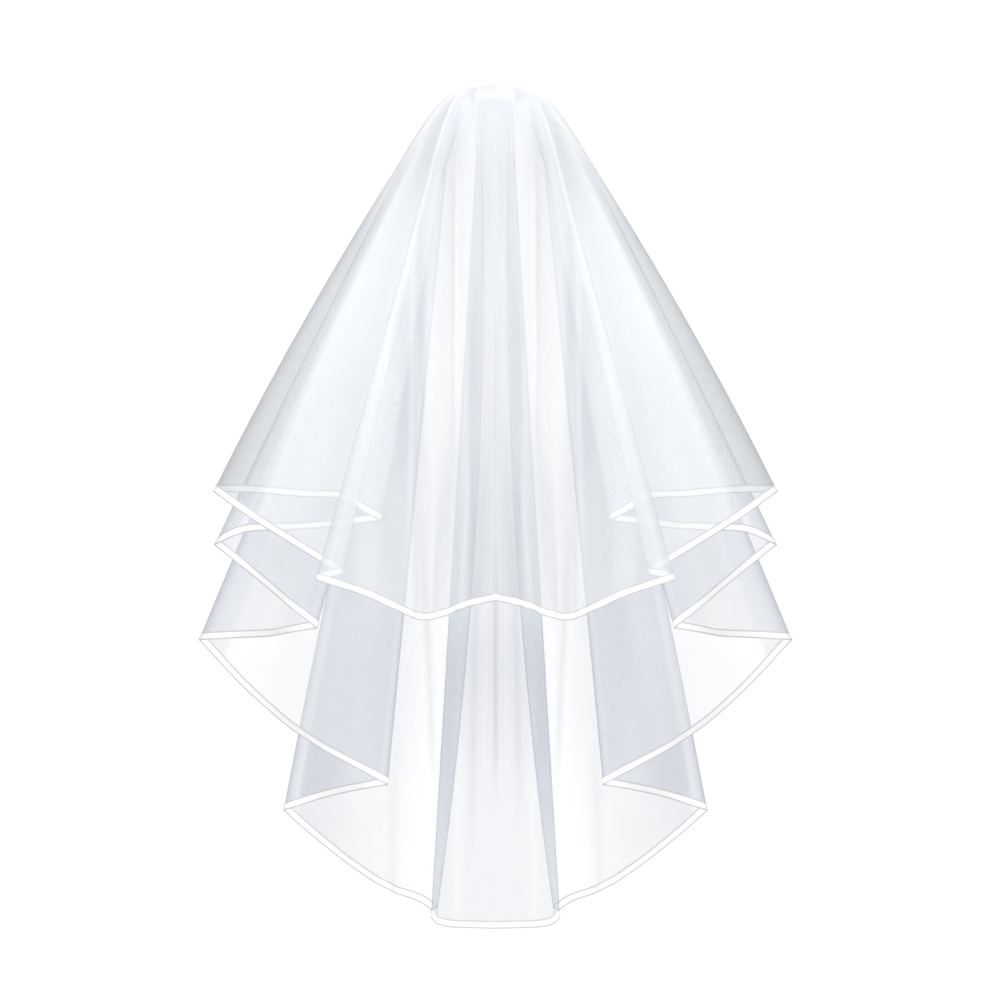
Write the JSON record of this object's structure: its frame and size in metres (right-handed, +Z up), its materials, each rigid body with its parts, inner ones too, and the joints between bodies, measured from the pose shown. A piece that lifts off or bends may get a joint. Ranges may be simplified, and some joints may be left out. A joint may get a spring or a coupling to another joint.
{
  "type": "bridal veil",
  "caption": "Short tiered bridal veil of sheer tulle gathered on a hair comb, its edge bound with narrow satin ribbon, falling in folded cascades down each side.",
  "frame": {"origin": "on top of the comb's spine at its middle, where the wearer's hair holds the veil", "axes": "+Z up, +Y towards the wearer's face, -Y out behind the veil, +X towards the wearer's right"},
  "size_m": [0.6134, 0.1816, 0.8667],
  "materials": {
    "tulle": "sheer fine hexagonal net, white with a faint cool tint where layers stack",
    "satin_ribbon": "white satin with a soft sheen and firm edges",
    "clear_comb": "clear moulded plastic"
  },
  "bodies": {
    "root": {"upper_tier": "tulle", "lower_tier": "tulle", "upper_ribbon": "satin_ribbon", "lower_ribbon": "satin_ribbon", "comb": "clear_comb"}
  },
  "joints": []
}
